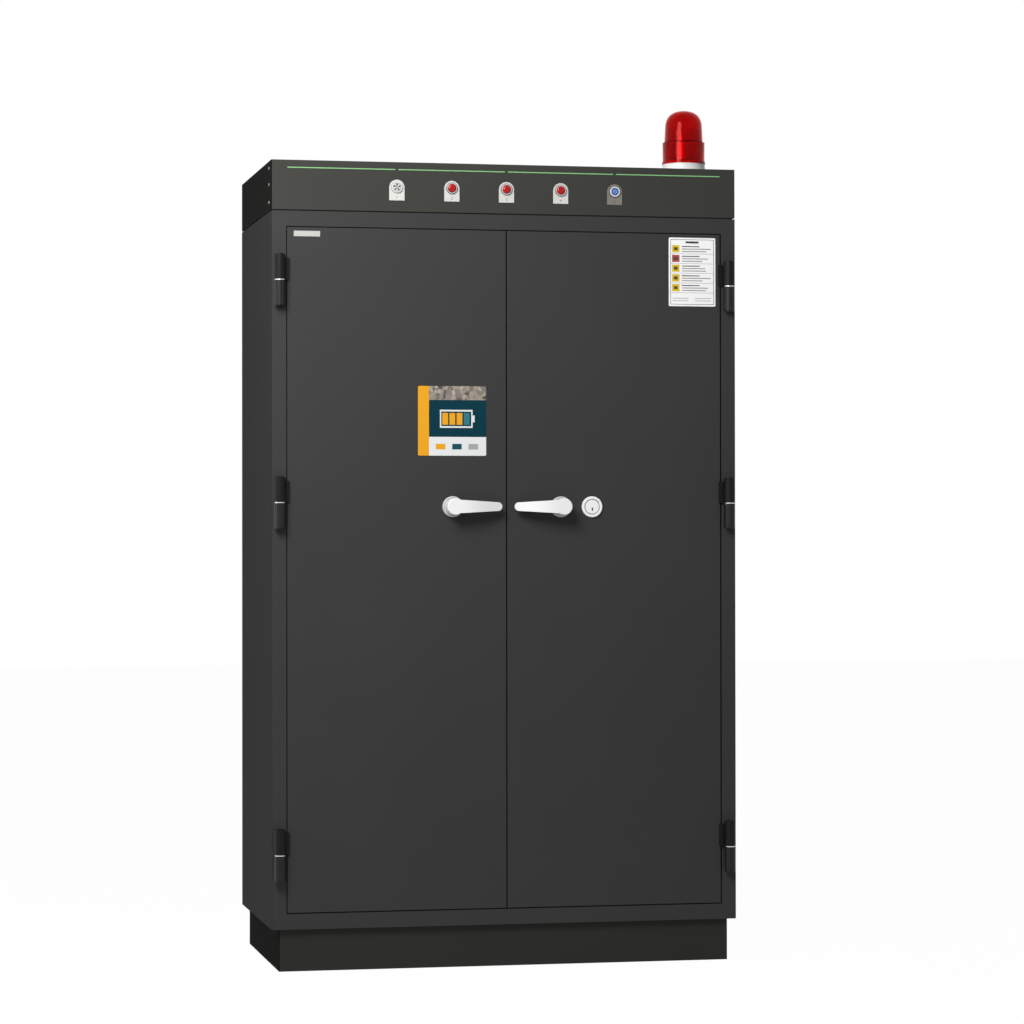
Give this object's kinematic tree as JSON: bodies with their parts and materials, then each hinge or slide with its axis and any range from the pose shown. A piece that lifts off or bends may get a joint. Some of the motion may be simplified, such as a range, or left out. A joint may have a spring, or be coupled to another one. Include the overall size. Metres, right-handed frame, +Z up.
{
  "type": "battery storage cabinet",
  "caption": "Tall two-door insulated steel cabinet on a plinth, with lever handles, weld-on hinges, a signal hood with light strips and pilot lamps, and a rotating red beacon.",
  "frame": {"origin": "on the floor under the middle of the carcass", "axes": "+X to the right seen from the front, the doors face -Y, +Z up"},
  "size_m": [1.204, 0.67, 2.2],
  "materials": {
    "graphite_coat": "fine-textured dark graphite powder coat",
    "plinth_coat": "dark powder coat",
    "liner_coat": "smooth pale grey powder coat",
    "mineral_board": "pressed insulation board",
    "zinc_steel": "zinc-plated steel",
    "hinge_coat": "dark coat on steel",
    "bright_washer": "bright washer",
    "seal_rubber": "soft black seal",
    "pale_handle": "pale satin coat",
    "pale_lock": "pale satin coat",
    "key_steel": "satin nickel",
    "strip_green": "green lit plastic",
    "plate_metal": "satin anodised plate",
    "chrome_ring": "polished",
    "red_lens": "glossy red lens",
    "sounder_grey": "pale grey plastic",
    "button_metal": "polished, with a blue lit ring",
    "module_plastic": "dark moulded plastic",
    "beacon_white": "white moulded plastic",
    "beacon_red": "clear red plastic",
    "mirror_steel": "polished reflector",
    "lamp_glass": "clear bulb",
    "gland_plastic": "black moulded plastic",
    "socket_plastic": "pale moulded plastic"
  },
  "bodies": {
    "cabinet": {"plinth": "plinth_coat", "side_panel_left": "graphite_coat", "side_panel_right": "graphite_coat", "back_panel": "graphite_coat", "floor_panel": "graphite_coat", "roof_panel": "graphite_coat", "wall_insulation": "mineral_board", "inner_liner": "liner_coat", "face_frame": "graphite_coat", "shelf_uprights": "zinc_steel", "shelves": "liner_coat", "shelf_clips": "zinc_steel", "socket_rails": "socket_plastic", "smoke_detector": "beacon_white", "bolt_keepers": "zinc_steel", "hinge_lower_halves": "hinge_coat", "hinge_pins": "zinc_steel", "hinge_washers": "bright_washer", "hood_gasket": "seal_rubber", "hood_cover": "graphite_coat", "hood_screws": "zinc_steel", "light_strips": "strip_green", "legend_plates": "plate_metal", "device_nuts": "zinc_steel", "sounder": "sounder_grey", "pilot_lamp_bodies": "chrome_ring", "pilot_lamp_lenses": "red_lens", "button_housing": "chrome_ring", "controller": "module_plastic", "power_supply": "zinc_steel", "cable_gland": "gland_plastic", "beacon_base": "beacon_white", "beacon_lens": "beacon_red", "beacon_lamp": "lamp_glass"},
    "door_left": {"door_skin_left": "graphite_coat", "door_pan_left": "liner_coat", "door_core_left": "mineral_board", "door_seal_left": "seal_rubber", "hinge_leaves_left": "hinge_coat", "rosette_left": "pale_handle", "latch_case_left": "zinc_steel"},
    "handle_left": {"lever_left": "pale_handle", "pinion_shaft_left": "zinc_steel"},
    "rod_top_left": {"rod_top_left": "zinc_steel"},
    "rod_bottom_left": {"rod_bottom_left": "zinc_steel"},
    "door_right": {"door_skin_right": "graphite_coat", "door_pan_right": "liner_coat", "door_core_right": "mineral_board", "door_seal_right": "seal_rubber", "hinge_leaves_right": "hinge_coat", "rosette_right": "pale_handle", "latch_case_right": "zinc_steel", "lock_body": "pale_lock"},
    "handle_right": {"lever_right": "pale_handle", "pinion_shaft_right": "zinc_steel"},
    "rod_top_right": {"rod_top_right": "zinc_steel"},
    "rod_bottom_right": {"rod_bottom_right": "zinc_steel"},
    "lock_plug": {"lock_plug": "key_steel"},
    "power_button": {"power_button": "button_metal"},
    "beacon_reflector": {"beacon_reflector": "mirror_steel"}
  },
  "joints": [
    {"name": "door_left_swing", "type": "hinge", "parent": "cabinet", "child": "door_left", "pos_m": [-0.581, -0.315, 1], "axis": [0, 0, -1], "range_deg": [0, 170]},
    {"name": "door_right_swing", "type": "hinge", "parent": "cabinet", "child": "door_right", "pos_m": [0.581, -0.315, 1], "axis": [0, 0, 1], "range_deg": [0, 170]},
    {"name": "handle_left_turn", "type": "hinge", "parent": "door_left", "child": "handle_left", "pos_m": [-0.14, -0.3, 1.1635], "axis": [0, 1, 0], "range_deg": [0, 90]},
    {"name": "rod_top_left_slide", "type": "slide", "parent": "door_left", "child": "rod_top_left", "axis": [0, 0, 1], "range_m": [0, 0.0189]},
    {"name": "rod_bottom_left_slide", "type": "slide", "parent": "door_left", "child": "rod_bottom_left", "axis": [0, 0, -1], "range_m": [0, 0.0189]},
    {"name": "handle_right_turn", "type": "hinge", "parent": "door_right", "child": "handle_right", "pos_m": [0.14, -0.3, 1.1635], "axis": [0, -1, 0], "range_deg": [0, 90]},
    {"name": "rod_top_right_slide", "type": "slide", "parent": "door_right", "child": "rod_top_right", "axis": [0, 0, 1], "range_m": [0, 0.0189]},
    {"name": "rod_bottom_right_slide", "type": "slide", "parent": "door_right", "child": "rod_bottom_right", "axis": [0, 0, -1], "range_m": [0, 0.0189]},
    {"name": "lock_plug_turn", "type": "hinge", "parent": "door_right", "child": "lock_plug", "pos_m": [0.2214, -0.3, 1.1575], "axis": [0, 1, 0], "range_deg": [0, 90]},
    {"name": "power_button_press", "type": "slide", "parent": "cabinet", "child": "power_button", "axis": [0, 1, 0], "range_m": [0, 0.002], "stiffness_N_per_m": 300, "springref_m": -0.002},
    {"name": "beacon_turn", "type": "hinge", "parent": "cabinet", "child": "beacon_reflector", "pos_m": [0.504, -0.15, 2.1], "axis": [0, 0, 1], "continuous": true}
  ],
  "couplings": [
    {"joint": "rod_top_left_slide", "follows": "handle_left_turn", "m_per_rad": 0.012},
    {"joint": "rod_bottom_left_slide", "follows": "handle_left_turn", "m_per_rad": 0.012},
    {"joint": "rod_top_right_slide", "follows": "handle_right_turn", "m_per_rad": 0.012},
    {"joint": "rod_bottom_right_slide", "follows": "handle_right_turn", "m_per_rad": 0.012}
  ]
}
